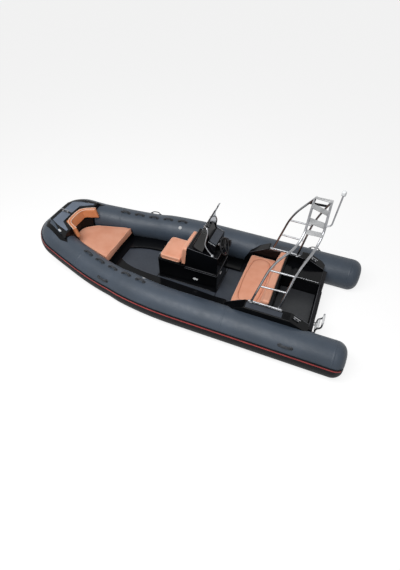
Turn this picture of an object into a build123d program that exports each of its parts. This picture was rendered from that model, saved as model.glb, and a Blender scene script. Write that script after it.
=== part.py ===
from build123d import *
from math import cos, hypot, pi, radians, sin, sqrt, tan
import os

# Rigid inflatable boat, about 5.4 m long. Millimetres. X runs forward, Y to port, Z up.
# The origin is amidships on the centreline at the waterline, with the boat afloat and empty.

os.makedirs("parts", exist_ok=True)

# ---- driving sizes -------------------------------------------------------------------
seat_gap = 0.3          # glued and bolted faces stand this far apart
turn_gap = 8.0          # a turning piece keeps this clear of its neighbours

tube_r = 258            # inflated collar, radius from the stern to the shoulder
bow_r = 242             # inflated collar, radius round the bow
tube_y = 887            # collar axis, out from the centreline
tube_z = 228            # collar axis above the waterline, aft
stern_x = -2660         # after end of the collar
cap_r = 150             # round of the collar's blunt after end
#                 x,     y,   z,  part of the shorter run taken by the bend
collar_corners = [(stern_x, tube_y, tube_z, 0),
                  (312, tube_y, tube_z, 0.45),
                  (1326, 718, 244, 0.45),
                  (2085, 514, 362, 0.45),
                  (2454, 420, 465, 0.52)]

sole_z = 108            # cockpit sole
liner_z = 140           # raised side deck beside the sole
transom_x = -2140       # after face of the transom
transom_t = 62
transom_top = 372
notch_top = 292         # engine cut-out
inner_y = tube_y - tube_r - 29   # half the clear width between the side mouldings
pad_t = 4               # non-slip deck pad

rail_r = 16             # arch tube
rung_r = 12.5
strake_t = 9            # rubbing strake off the collar
stripe_t = 2.5


# ---- shared ways of building -----------------------------------------------------------
def rounded_path(corners, shares):
    """Straight runs and tangent bends through a row of corners.

    Gives ("run", start, direction, length) and ("bend", start, direction, centre, axis, turn).
    """
    pts = [Vector(*c) for c in corners]
    steps, here = [], pts[0]
    for i in range(1, len(pts) - 1):
        into = (pts[i] - pts[i - 1]).normalized()
        out = (pts[i + 1] - pts[i]).normalized()
        turn = into.get_angle(out)
        reach = shares[i] * min((pts[i] - pts[i - 1]).length, (pts[i + 1] - pts[i]).length)
        start = pts[i] - into * reach
        side = (out - into * into.dot(out)).normalized()
        centre = start + side * (reach / tan(radians(turn / 2)))
        steps.append(("run", here, into, (start - here).length))
        steps.append(("bend", start, into, centre, into.cross(out).normalized(), turn))
        here = pts[i] + out * reach
    steps.append(("run", here, out, (pts[-1] - here).length))
    return steps


whole_collar = collar_corners + [(x, -y, z, share) for x, y, z, share in reversed(collar_corners)]
collar = rounded_path([corner[:3] for corner in whole_collar], [corner[3] for corner in whole_collar])
last_step = len(collar) - 1


def collar_radius(step):
    """Radius at the start and the end of a numbered step of the collar."""
    if step == 2:
        return tube_r, bow_r
    if step == last_step - 2:
        return bow_r, tube_r
    return (tube_r, tube_r) if step < 2 or step > last_step - 2 else (bow_r, bow_r)


def outward_frames():
    """The outward direction at the start of each step, carried round the bends without twist."""
    out, frames = Vector(0, 1, 0), []
    for step in collar:
        frames.append(out)
        if step[0] == "bend":
            out = out.rotate(Axis((0, 0, 0), tuple(step[4])), step[5])
    return frames


frames = outward_frames()


def collar_tube(first, last, grow=0.0):
    """The inflated tube over the numbered steps, swollen by grow."""
    with BuildPart() as tube:
        for i in range(first, last + 1):
            kind, start, way = collar[i][:3]
            r0, r1 = collar_radius(i)
            here = Plane(origin=start, x_dir=frames[i], z_dir=way)
            with BuildSketch(here):
                Circle(r0 + grow)
            if kind == "bend":
                revolve(axis=Axis(tuple(collar[i][3]), tuple(collar[i][4])),
                        revolution_arc=collar[i][5])
            elif r0 == r1:
                extrude(amount=collar[i][3])
            else:
                with BuildSketch(here.offset(collar[i][3])):
                    Circle(r1 + grow)
                loft(ruled=True)
    return tube.part


def collar_band(first, last, inner, outer, low, high):
    """A band on the collar's outer side, between two heights given as angles round the tube."""
    def face(plane, r):
        with BuildSketch(plane) as sketch:
            with BuildLine():
                a, b = radians(low), radians(high)
                mid = (a + b) / 2
                r_in, r_out = r + inner, r + outer
                ThreePointArc((r_out * cos(a), r_out * sin(a)), (r_out * cos(mid), r_out * sin(mid)),
                              (r_out * cos(b), r_out * sin(b)))
                Line((r_out * cos(b), r_out * sin(b)), (r_in * cos(b), r_in * sin(b)))
                ThreePointArc((r_in * cos(b), r_in * sin(b)), (r_in * cos(mid), r_in * sin(mid)),
                              (r_in * cos(a), r_in * sin(a)))
                Line((r_in * cos(a), r_in * sin(a)), (r_out * cos(a), r_out * sin(a)))
            make_face()
        return sketch.sketch

    with BuildPart() as band:
        for i in range(first, last + 1):
            kind, start, way = collar[i][:3]
            r0, r1 = collar_radius(i)
            here = Plane(origin=start, x_dir=frames[i], z_dir=way)
            if kind == "bend":
                revolve(face(here, r0), axis=Axis(tuple(collar[i][3]), tuple(collar[i][4])),
                        revolution_arc=collar[i][5])
            elif r0 == r1:
                extrude(face(here, r0), amount=collar[i][3])
            else:
                loft([face(here, r0), face(here.offset(collar[i][3]), r1)], ruled=True)
    return band.part


def cap_band(inner, outer, low, high, reach):
    """The band carried on round the port tube's rounded end, through reach degrees of its curve."""
    centre = Vector(stern_x + cap_r, 0)
    flank = tube_r - cap_r

    def at(r, angle):
        return centre.X - r * sin(radians(angle)), flank + r * cos(radians(angle))

    axis = Axis((0, tube_y, tube_z), (1, 0, 0))
    plane = Plane(origin=(0, tube_y, tube_z), x_dir=(1, 0, 0), z_dir=(0, 0, 1)).rotated((0, 0, 0))
    with BuildPart() as band:
        with BuildSketch(plane) as face:
            with BuildLine():
                r_in, r_out = cap_r + inner, cap_r + outer
                ThreePointArc(at(r_out, 0), at(r_out, reach / 2), at(r_out, reach))
                Line(at(r_out, reach), at(r_in, reach))
                ThreePointArc(at(r_in, reach), at(r_in, reach / 2), at(r_in, 0))
                Line(at(r_in, 0), at(r_out, 0))
            make_face()
        revolve(axis=axis, revolution_arc=high - low)
    return band.part.rotate(axis, low)


def bent_bar(corners, share, r):
    """A round bar bent through a row of corners."""
    with BuildPart() as bar:
        with BuildLine() as line:
            for step in rounded_path(corners, [share] * len(corners)):
                if step[0] == "run":
                    if step[3] > 0.01:
                        Line(step[1], step[1] + step[2] * step[3])
                else:
                    start, centre, spin = step[1], step[3], Axis((0, 0, 0), tuple(step[4]))
                    arm = start - centre
                    ThreePointArc(start, centre + arm.rotate(spin, step[5] / 2),
                                  centre + arm.rotate(spin, step[5]))
        with BuildSketch(Plane(origin=line.line @ 0, z_dir=line.line % 0)):
            Circle(r)
        sweep(path=line.line)
    return bar.part


def straight_bar(a, b, r):
    """A round bar from a to b."""
    a, b = Vector(*a), Vector(*b)
    with BuildPart() as bar:
        with BuildSketch(Plane(origin=a, z_dir=(b - a).normalized())):
            Circle(r)
        extrude(amount=(b - a).length)
    return bar.part


def side_block(outline, y0, y1):
    """A block with its outline drawn in the side view (x, z), from y0 to y1."""
    with BuildPart() as block:
        with BuildSketch(Plane.XZ.offset(-y1)):
            with BuildLine():
                Polyline(*outline, close=True)
            make_face()
        extrude(amount=y1 - y0)
    return block.part


def plan_block(outline, z0, z1):
    """A block with its outline drawn in plan (x, y), from z0 to z1."""
    with BuildPart() as block:
        with BuildSketch(Plane.XY.offset(z0)):
            with BuildLine():
                Polyline(*outline, close=True)
            make_face()
        extrude(amount=z1 - z0)
    return block.part


def both_sides(half):
    """A half outline (x, y), y at or above 0, closed with its mirror image."""
    return half + [(x, -y) for x, y in reversed(half) if y > 0]


def cushion_block(x0, x1, y0, y1, z0, z1, edge):
    """A plain cushion with its upright and top edges rounded."""
    with BuildPart() as cushion:
        with BuildSketch(Plane.XY.offset(z0)):
            with Locations(((x0 + x1) / 2, (y0 + y1) / 2)):
                RectangleRounded(x1 - x0, y1 - y0, edge)
        extrude(amount=z1 - z0)
        fillet(cushion.faces().sort_by(Axis.Z)[-1].edges(), edge * 0.6)
    return cushion.part


def on_collar(x, angle):
    """A plane standing on the port collar at x: its x along the tube, its z straight out of it.

    angle is measured up from the outboard side, so 90 is the top of the tube.
    """
    for i, step in enumerate(collar[:9]):
        low, high = 0.0, 1.0
        for _ in range(40):
            t = (low + high) / 2
            if step[0] == "run":
                at, way, out = step[1] + step[2] * (step[3] * t), step[2], frames[i]
            else:
                spin = Axis((0, 0, 0), tuple(step[4]))
                at = step[3] + (step[1] - step[3]).rotate(spin, step[5] * t)
                way, out = step[2].rotate(spin, step[5] * t), frames[i].rotate(spin, step[5] * t)
            low, high = (t, high) if at.X < x else (low, t)
        if abs(at.X - x) < 0.01:
            break
    away = out * cos(radians(angle)) + way.cross(out) * sin(radians(angle))
    r0, r1 = collar_radius(i)
    return Plane(origin=at + away * (r0 + (r1 - r0) * t), x_dir=way, z_dir=away)


def strap_handle(plane, length, width, rise, thick):
    """A moulded strap handle: two glued feet and a raised grip between them."""
    foot = 30
    with BuildPart() as handle:
        side = Plane(origin=plane.origin, x_dir=plane.x_dir, z_dir=-plane.y_dir)
        with BuildSketch(side):
            with BuildLine():
                Polyline((-length / 2, -6), (-length / 2, thick), (-length / 2 + foot, thick + 4),
                         (-length / 2 + foot + 22, rise), (length / 2 - foot - 22, rise),
                         (length / 2 - foot, thick + 4), (length / 2, thick), (length / 2, -6),
                         (length / 2 - foot, -6), (length / 2 - foot - 26, rise - thick),
                         (-length / 2 + foot + 26, rise - thick), (-length / 2 + foot, -6),
                         close=True)
            make_face()
        extrude(amount=width / 2, both=True)
        add(cutter, mode=Mode.SUBTRACT)
    return handle.part


def save(part, name):
    part.label = name
    export_step(part, "parts/" + name + ".step")


# ---- inflatable collar -------------------------------------------------------------------
with BuildPart() as tube_port:
    add(collar_tube(0, 4))
    fillet(tube_port.edges().group_by(Axis.X)[0], cap_r)
save(tube_port.part, "tube_port")

with BuildPart() as tube_starboard:
    add(mirror(tube_port.part, about=Plane.XZ))
save(tube_starboard.part, "tube_starboard")

with BuildPart() as tube_bow:
    add(collar_tube(5, last_step - 5))
save(tube_bow.part, "tube_bow")

# The collar swollen by the glue gap: whatever sits against the tubes is cut with it.
with BuildPart() as collar_cutter:
    add(collar_tube(0, last_step, seat_gap))
cutter = collar_cutter.part

# Rubbing strake round the outside, with a red insert along its upper part.
strake_low, strake_high = -26, 21
stripe_low, stripe_high = 12.5, 16.5
with BuildPart() as rub_strake:
    add(collar_band(0, last_step, seat_gap, strake_t, strake_low, strake_high))
    with Locations((stern_x, 0, tube_z)):
        Box(2 * cap_r, 3000, 900, mode=Mode.SUBTRACT)
    strake_end = cap_band(seat_gap, strake_t, strake_low, strake_high, 62)
    add(strake_end)
    add(mirror(strake_end, about=Plane.XZ))
save(rub_strake.part, "rub_strake")

with BuildPart() as red_stripe:
    add(collar_band(0, last_step, strake_t + 0.2, strake_t + stripe_t, stripe_low, stripe_high))
    with Locations((stern_x, 0, tube_z)):
        Box(2 * cap_r, 3000, 900, mode=Mode.SUBTRACT)
    stripe_end = cap_band(strake_t + 0.2, strake_t + stripe_t, stripe_low, stripe_high, 46)
    add(stripe_end)
    add(mirror(stripe_end, about=Plane.XZ))
save(red_stripe.part, "red_stripe")

# Strap handles along the inboard shoulder and carrying handles on the outboard shoulder.
grip_xs, grip_angle = (515, 790, 1060, 1341, 1610), 100
carry_xs = (-1849, 1092)
with BuildPart() as grab_handles_port:
    for x in grip_xs:
        add(strap_handle(on_collar(x, grip_angle), 190, 34, 40, 7))
save(grab_handles_port.part, "grab_handles_port")
with BuildPart() as grab_handles_starboard:
    add(mirror(grab_handles_port.part, about=Plane.XZ))
save(grab_handles_starboard.part, "grab_handles_starboard")

with BuildPart() as carry_handles:
    for x in carry_xs:
        grip = strap_handle(on_collar(x, 42), 220, 34, 42, 8)
        add(grip)
        add(mirror(grip, about=Plane.XZ))
save(carry_handles.part, "carry_handles")

with BuildPart() as valves:
    valve_plane = on_collar(528, 128)
    with BuildSketch(valve_plane.offset(-4)):
        Circle(30)
    extrude(amount=9)
    add(cutter, mode=Mode.SUBTRACT)
    with BuildSketch(valve_plane.offset(5)):
        Circle(20)
    extrude(amount=4)
    add(mirror(valves.part, about=Plane.XZ))
save(valves.part, "valves")

# ---- hull --------------------------------------------------------------------------------
hull_top = 285          # foredeck of the hull, under the bow cushion
locker_x = 1376         # after face of the bow locker
locker_fore = 1700
#                x,   keel, chine y, chine z
hull_stations = [(transom_x + transom_t, -318, 700, -12),
                 (-500, -325, 705, -12),
                 (500, -318, 690, 0),
                 (1300, -268, 540, 40),
                 (1800, -150, 355, 110),
                 (2200, 10, 190, 172),
                 (2440, 165, 62, 215)]
with BuildPart() as hull:
    for x, keel, chine_y, chine_z in hull_stations:
        with BuildSketch(Plane.YZ.offset(x)):
            with BuildLine():
                Polyline((0, keel), (chine_y, chine_z), (chine_y, hull_top), (-chine_y, hull_top),
                         (-chine_y, chine_z), close=True)
            make_face()
    loft(ruled=True)
    with Locations(((transom_x + locker_fore) / 2, 0, sole_z + 150)):
        Box(locker_fore - transom_x, 1700, 300, mode=Mode.SUBTRACT)
    add(cutter, mode=Mode.SUBTRACT)
save(hull.part, "hull")

# ---- deck ------------------------------------------------------------------------------
box_x0, box_x1 = -2078, -760         # side mouldings, aft and fore ends
sole_edge = [(box_x1, 361), (-544, 366), (-217, 345), (747, 307), (940, 286), (1120, 240),
             (locker_x - 86, 150)]
with BuildPart() as deck_liner:
    add(plan_block([(box_x1, -760), (locker_x - seat_gap, -760), (locker_x - seat_gap, 760),
                    (box_x1, 760)], sole_z, liner_z))
    add(plan_block(both_sides([(box_x1 - 5, 361)] + sole_edge), sole_z - 5, liner_z + 5),
        mode=Mode.SUBTRACT)
    add(cutter, mode=Mode.SUBTRACT)
save(deck_liner.part, "deck_liner")

console_x0, console_x1, console_y = -550, 480, 262
with BuildPart() as sole_pads:
    edge = 12
    add(plan_block(both_sides([(console_x1 + 30, 322 - edge), (747, 307 - edge), (940, 286 - edge),
                               (1120 - edge, 240 - edge), (locker_x - 86 - edge, 150)]),
                   sole_z, sole_z + pad_t))
    add(plan_block([(console_x1 + 18, console_y + 8), (console_x1 + 18, 309), (-217, 332),
                    (console_x0, 352), (console_x0, console_y + 8)], sole_z, sole_z + pad_t))
    add(mirror(plan_block([(console_x1 + 18, console_y + 8), (console_x1 + 18, 309), (-217, 332),
                           (console_x0, 352), (console_x0, console_y + 8)], sole_z, sole_z + pad_t),
               about=Plane.XZ))
    add(plan_block(both_sides([(box_x1 - 110, 350), (console_x0 - 12, 352)]), sole_z, sole_z + pad_t))
save(sole_pads.part, "sole_pads")

# Side mouldings beside the bench and the engine well; their tops carry the arch.
box_top = 560
box_side = [(box_x0, sole_z), (box_x0, 430), (-1800, box_top), (-1136, box_top), (-834, 378),
            (box_x1, 228), (box_x1, sole_z)]
with BuildPart() as side_box_port:
    add(side_block(box_side, inner_y, inner_y + 165))
    add(cutter, mode=Mode.SUBTRACT)
    fillet(side_box_port.edges().filter_by(Axis.X).sort_by(Axis.Z)[-2:], 14)
save(side_box_port.part, "side_box_port")
with BuildPart() as side_box_starboard:
    add(mirror(side_box_port.part, about=Plane.XZ))
save(side_box_starboard.part, "side_box_starboard")

with BuildPart() as side_box_pads:
    for side in (-1, 1):
        with Locations((-1420, side * (inner_y + 100), box_top + pad_t / 2)):
            Box(530, 96, pad_t)
save(side_box_pads.part, "side_box_pads")

# ---- bow ---------------------------------------------------------------------------------
with BuildPart() as bow_locker:
    add(plan_block(both_sides([(locker_x, 509), (locker_fore - seat_gap, 389)]), sole_z, hull_top))
    add(cutter, mode=Mode.SUBTRACT)
save(bow_locker.part, "bow_locker")

cushion_top = 352
cushion_aft = locker_x - 5
cushion_half = [(cushion_aft, 436), (1560, 392), (1987, 272), (2150, 150), (2196, 60)]
with BuildPart() as bow_cushion:
    add(plan_block(both_sides(cushion_half), hull_top + seat_gap, cushion_top))
    # its cover hangs over the after face of the locker
    add(plan_block(both_sides([(cushion_aft - 6, 430), (locker_x - seat_gap, 430)]), hull_top - 50,
                   hull_top + 30))
    with BuildPart(mode=Mode.PRIVATE) as swollen:
        add(collar_tube(0, last_step, 4))
    add(swollen.part, mode=Mode.SUBTRACT)
save(bow_cushion.part, "bow_cushion")

# Backrest round the inside of the bow: a U in plan, leaning forward towards its top.
rest_z0, rest_z1, rest_t = 520, 700, 62
lean = 46
rest_top_out = [(1998, 343), (2262, 205)]
rest_top_in = [(2262 - rest_t, 178), (1975, 343 - rest_t)]
slope_rest = 0.075


def rest_prism(outline, z0, z1, shift0, shift1, grow=0.0):
    """The closed plan outline lofted from one height to another with a shift along x."""
    with BuildPart() as prism:
        for z, shift in ((z0, shift0), (z1, shift1)):
            with BuildSketch(Plane.XY.offset(z)):
                with BuildLine():
                    Polyline(*[(x + shift, y) for x, y in outline], close=True)
                make_face()
                if grow:
                    offset(amount=grow, kind=Kind.INTERSECTION)
        loft(ruled=True)
    return prism.part


rest_outline = rest_top_out + [(x, -y) for x, y in reversed(rest_top_out)] \
    + [(x, -y) for x, y in reversed(rest_top_in)] + rest_top_in
with BuildPart() as bow_backrest:
    add(rest_prism(rest_outline, rest_z0, rest_z1, -lean, 0))
    with BuildPart(mode=Mode.PRIVATE) as near_collar:
        add(collar_tube(3, last_step - 3, 2))
    add(near_collar.part, mode=Mode.SUBTRACT)
save(bow_backrest.part, "bow_backrest")

# Moulded bow step over the tubes, with the backrest let into it.
step_slope = 4.4
step_plane = Plane(origin=(2480, 0, 722), x_dir=(cos(radians(step_slope)), 0, sin(radians(step_slope))),
                   z_dir=(-sin(radians(step_slope)), 0, cos(radians(step_slope))))
with BuildPart() as bow_step:
    add(plan_block(both_sides([(2047, 530), (2110, 530), (2500, 372), (2520, 300)]), 290, 800))
    with BuildSketch(step_plane):
        Rectangle(2000, 2000)
    extrude(amount=300, mode=Mode.SUBTRACT)
    inside = [(1900, 343), (1998, 343), (2262, 205), (2262, -205), (1998, -343), (1900, -343)]
    add(rest_prism(inside, rest_z0 - seat_gap, rest_z1 + 40, -lean, 10, seat_gap), mode=Mode.SUBTRACT)
    add(plan_block(both_sides([(1900, 298)] + [(x + 3, y + 3) for x, y in cushion_half[2:]]),
                   280, rest_z0 + 5), mode=Mode.SUBTRACT)
    add(cutter, mode=Mode.SUBTRACT)
    # The shoulder falls away outboard.
    for side in (-1, 1):
        with BuildSketch(Plane(origin=(2047, side * 480, 689), x_dir=(0.936, side * -0.35, 0.03),
                               z_dir=(0.3, side * 0.7, 0.64))):
            Rectangle(2400, 600)
        extrude(amount=300, mode=Mode.SUBTRACT)
save(bow_step.part, "bow_step")

with BuildPart() as bow_step_pads:
    for side in (-1, 1):
        with BuildSketch(step_plane.offset(seat_gap)) as pad:
            with BuildLine():
                Polyline((-25, side * 22), (-25, side * 285), (-170, side * 352), (-400, side * 425),
                         (-400, side * 385), (-205, side * 245), (-195, side * 22), close=True)
            make_face()
        extrude(amount=pad_t)
save(bow_step_pads.part, "bow_step_pads")

with BuildPart() as bow_lights:
    for side in (-1, 1):
        with BuildSketch(Plane(origin=(2219, side * 428, 665.2), x_dir=(0.936, side * -0.35, 0.03),
                               z_dir=(0.3, side * 0.7, 0.64)).offset(seat_gap)):
            Ellipse(40, 17)
        extrude(amount=9)
    add(cutter, mode=Mode.SUBTRACT)
save(bow_lights.part, "bow_lights")

with BuildPart() as bow_cleat:
    with BuildSketch(step_plane.offset(seat_gap)):
        with Locations((-75, 0)):
            RectangleRounded(120, 36, 12)
    extrude(amount=6)
    with BuildSketch(step_plane.offset(seat_gap + 6)):
        with Locations((-75, 0)):
            RectangleRounded(62, 18, 8)
    extrude(amount=24)
    with BuildSketch(step_plane.offset(seat_gap + 30)):
        with Locations((-75, 0)):
            RectangleRounded(150, 20, 9)
    extrude(amount=13)
save(bow_cleat.part, "bow_cleat")

eye_z, eye_bore_r, eye_t = 84, 10, 14
(stem_x0, stem_z0), (stem_x1, stem_z1) = hull_stations[-2][:2], hull_stations[-1][:2]
eye_x = stem_x0 + (stem_x1 - stem_x0) * (eye_z - stem_z0) / (stem_z1 - stem_z0) + 37.42
with BuildPart() as bow_eye:
    with BuildSketch(Plane.XZ):
        with Locations((eye_x, eye_z)):
            Circle(25)
            Circle(eye_bore_r, mode=Mode.SUBTRACT)
    extrude(amount=eye_t / 2, both=True)
    add(hull.part, mode=Mode.SUBTRACT)
save(bow_eye.part, "bow_eye")

# ---- console -------------------------------------------------------------------------------
seat_z = 505            # top of the console base
body_top_f, body_top_a = 905, 850
rest_front = 66         # fore side of the console backrest
seat_x0 = rest_front + turn_gap
locker_hatch = seat_x0 + 30
with BuildPart() as console_base:
    with Locations(((console_x0 + console_x1) / 2, 0, (sole_z + seat_z) / 2)):
        Box(console_x1 - console_x0, 2 * console_y, seat_z - sole_z)
    fillet(console_base.edges().filter_by(Axis.Z), 28)
    # Locker space under the seat.
    with Locations(((locker_hatch + console_x1 - 30) / 2, 0, seat_z - 140)):
        Box(console_x1 - 30 - locker_hatch, 2 * console_y - 60, 281, mode=Mode.SUBTRACT)
save(console_base.part, "console_base")

flange = 9
with BuildPart() as console_body:
    add(side_block([(console_x0, seat_z), (0, seat_z), (-46, body_top_f), (console_x0, body_top_a)],
                   -console_y, console_y))
    fillet(console_body.edges().filter_by(Axis.Y).sort_by(Axis.Z)[-2:], 22)
    add(side_block([(console_x0 - 7, seat_z), (console_x0 - 7, seat_z + flange), (7, seat_z + flange),
                    (7, seat_z)], -console_y - 7, console_y + 7))
save(console_body.part, "console_body")

lid_t = 15
cushion_t = 80
seat_x1 = 452
hinge_x = 462           # hinge line of the seat lid, along the front of the base
with BuildPart() as console_seat_lid:
    with Locations(((seat_x0 + hinge_x) / 2, 0, seat_z + seat_gap + lid_t / 2)):
        Box(hinge_x - seat_x0, 2 * console_y - 14, lid_t)
    fillet(console_seat_lid.edges().filter_by(Axis.Z), 20)
save(console_seat_lid.part, "console_seat_lid")
lid_top = seat_z + seat_gap + lid_t
with BuildPart() as console_seat_cushion:
    add(cushion_block(seat_x0 + 4, seat_x1, -console_y + 10, console_y - 10, lid_top, lid_top + cushion_t, 34))
save(console_seat_cushion.part, "console_seat_cushion")

with BuildPart() as seat_hinge:
    for y in (-150, 150):
        with Locations((console_x1 + 4, y, seat_z - 6)):
            Box(7.4, 60, 44)
        with Locations(Location((console_x1 + 4, y, seat_z + 6), (90, 0, 0))):
            Cylinder(6, 60)
save(seat_hinge.part, "seat_hinge")

with BuildPart() as console_backrest:
    add(side_block([(-12, seat_z + flange + 1), (rest_front, seat_z + flange + 1), (rest_front, 608),
                    (rest_front - 32, 866), (-34, 866)], -248, 248))
    with BuildPart(mode=Mode.PRIVATE) as body_front:
        add(side_block([(-400, seat_z), (0.3, seat_z), (-45.7, body_top_f), (-400, body_top_f)], -300, 300))
    add(body_front.part, mode=Mode.SUBTRACT)
    fillet(console_backrest.edges().filter_by(Axis.X).sort_by(Axis.Z)[-2:], 40)
save(console_backrest.part, "console_backrest")

# Instrument pod on top of the console, with a narrower hood rising behind the screen.
pod_x0, pod_z0, pod_z1 = -486, 1021, 1072
with BuildPart() as instrument_pod:
    add(side_block([(-115, 860), (pod_x0 + 8, 830), (pod_x0, pod_z0), (-362, pod_z1), (-206, pod_z1),
                    (-125, 890)], -198, 198))
    add(plan_block(both_sides([(pod_x0 - 10, 198), (-355, 196), (-110, 138)]), 800, 1300),
        mode=Mode.INTERSECT)
    with BuildPart(mode=Mode.PRIVATE) as hood:
        add(side_block([(-372, pod_z1 - 30), (-214, pod_z1 - 30), (-268, 1190), (-322, 1225)], -150, 150))
        for side in (-1, 1):
            with BuildSketch(Plane.YZ.offset(-600)):
                with BuildLine():
                    Polyline((side * 150, 1000), (side * 108, 1300), (side * 300, 1300),
                             (side * 300, 1000), close=True)
                make_face()
            extrude(amount=700, mode=Mode.SUBTRACT)
    add(hood.part)
    with BuildPart(mode=Mode.PRIVATE) as under_body:
        add(side_block([(-700, 600), (200, 600), (200, 932), (-46, body_top_f + 0.3),
                        (console_x0, body_top_a + 0.3), (-700, 833)], -400, 400))
    add(under_body.part, mode=Mode.SUBTRACT)
save(instrument_pod.part, "instrument_pod")

screen_z0, screen_z1, screen_t = 840, 1615, 6
screen_x0 = -700        # the shell is cut off well forward of this
#              front x, half width at the front, flare of the sides, corner
screen_foot = (-72, 223, 0.16, 60)
screen_head = (-422, 55, 0.30, 34)


def screen_section(level, inset):
    """The screen's outline in plan at its foot or its head, drawn inset by a thickness."""
    front, half_y, flare, corner = level
    wide = half_y + flare * (front - screen_x0)
    with BuildSketch(Plane.XY.offset(screen_z0 if level is screen_foot else screen_z1)) as section:
        with BuildLine():
            Polyline((screen_x0, wide - inset), (front - inset, half_y - inset),
                     (front - inset, inset - half_y), (screen_x0, inset - wide), close=True)
        make_face()
        fillet(section.vertices().group_by(Axis.X)[-1], corner - inset)
    return section.sketch


with BuildPart() as windscreen:
    with BuildPart(mode=Mode.PRIVATE) as screen_block:
        loft([screen_section(screen_foot, 0), screen_section(screen_head, 0)], ruled=True)
    with BuildPart(mode=Mode.PRIVATE) as screen_inside:
        loft([screen_section(screen_foot, screen_t), screen_section(screen_head, screen_t)], ruled=True)
    add(screen_block.part)
    add(screen_inside.part, mode=Mode.SUBTRACT)
    add(side_block([(-1200, 800), (-290, 800), (-290, 880), (-352, 1060), (-350, 1230), (-356, 1400),
                    (-450, 1640), (-1200, 1700)], -400, 400), mode=Mode.SUBTRACT)
    add(under_body.part, mode=Mode.SUBTRACT)
save(windscreen.part, "windscreen")

with BuildPart() as screen_rails:
    add(bent_bar([(-452, 233, 858), (-374, 240, 955), (-328, 234, 1035), (-338, 215, 1128),
                  (-354, 193, 1218), (-334, 172, 1298), (-268, 120, 1284)], 0.4, 9.5))
    with Locations((-452, 233, 862)):
        Cylinder(24, 6)
    add(under_body.part, mode=Mode.SUBTRACT)
    with BuildPart(mode=Mode.PRIVATE) as screen_corner:
        add(screen_block.part)
        with Locations((-150, 0, 1400)):
            Box(410, 600, 400, mode=Mode.INTERSECT)
    add(screen_corner.part, mode=Mode.SUBTRACT)
    add(mirror(screen_rails.part, about=Plane.XZ))
save(screen_rails.part, "screen_rails")

# Steering: a wheel on a raked column out of the console's after face.
wheel_x, wheel_z, wheel_tilt = -562, 902, 24
wheel_r, wheel_bar, hub_r = 142, 12, 34
wheel_plane = Plane(origin=(wheel_x, 0, wheel_z), x_dir=(0, 1, 0),
                    z_dir=(-cos(radians(wheel_tilt)), 0, sin(radians(wheel_tilt))))
with BuildPart() as helm:
    with BuildSketch(wheel_plane.offset(-22 - seat_gap)):
        Circle(hub_r - 6)
    extrude(amount=-120)
    add(under_body.part, mode=Mode.SUBTRACT)
    add(side_block([(pod_x0 + 8 - seat_gap, 830), (pod_x0 - seat_gap, pod_z0), (-300, pod_z0), (-300, 830)],
                   -100, 100), mode=Mode.SUBTRACT)
save(helm.part, "helm")
with BuildPart() as steering_wheel:
    with BuildSketch(Plane(origin=wheel_plane.origin, x_dir=wheel_plane.x_dir, z_dir=-wheel_plane.y_dir)):
        with Locations((wheel_r - wheel_bar, 0)):
            Circle(wheel_bar)
    revolve(axis=Axis(wheel_plane.origin, wheel_plane.z_dir), revolution_arc=360)
    with BuildSketch(wheel_plane.offset(-22)):
        Circle(hub_r)
    extrude(amount=34)
    with BuildSketch(wheel_plane.offset(-5)):
        for turn in (90, 210, 330):
            with Locations(Location((0, 0, 0), (0, 0, turn))):
                with Locations(((wheel_r - wheel_bar) / 2 + 10, 0)):
                    Rectangle(wheel_r - wheel_bar - 10, 26)
    extrude(amount=8)
save(steering_wheel.part, "steering_wheel")

# Engine control on the starboard side of the console's after face.
with BuildPart() as throttle:
    with Locations((console_x0 - 24 - seat_gap, -218, 800)):
        Box(48, 60, 90)
    with Locations(Location((console_x0 - 30, -184, 812), (90, 0, 0))):
        Cylinder(22, 24)
    add(straight_bar((console_x0 - 30, -182, 812), (console_x0 - 34, -182, 876), 9))
    with Locations((console_x0 - 34, -182, 880)):
        Sphere(17)
save(throttle.part, "throttle")

with BuildPart() as gauges:
    with BuildSketch(Plane(origin=(pod_x0 + 3, 0, 949), x_dir=(0, 1, 0),
                           z_dir=(830 - pod_z0, 0, -8)).offset(seat_gap)) as faces:
        with Locations((-58, -13), (58, -13)):
            Circle(24)
    extrude(amount=7)
save(gauges.part, "gauges")

with BuildPart() as battery_switch:
    with BuildSketch(Plane.YZ.offset(console_x0 - seat_gap)):
        with Locations((-178, 614)):
            Circle(30)
    extrude(amount=-8)
    with BuildSketch(Plane.YZ.offset(console_x0 - seat_gap - 8)):
        with Locations((-178, 614)):
            Circle(13)
    extrude(amount=-14)
save(battery_switch.part, "battery_switch")

with BuildPart() as courtesy_lights:
    with BuildSketch(Plane.XZ.offset(-console_y - seat_gap)):
        with Locations((-190, 290)):
            Ellipse(44, 20)
    extrude(amount=-6)
    add(mirror(courtesy_lights.part, about=Plane.XZ))
    with BuildSketch(Plane.YZ.offset(console_x0 - seat_gap)):
        with Locations((68, 395)):
            Ellipse(34, 17)
    extrude(amount=-6)
save(courtesy_lights.part, "courtesy_lights")

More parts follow.
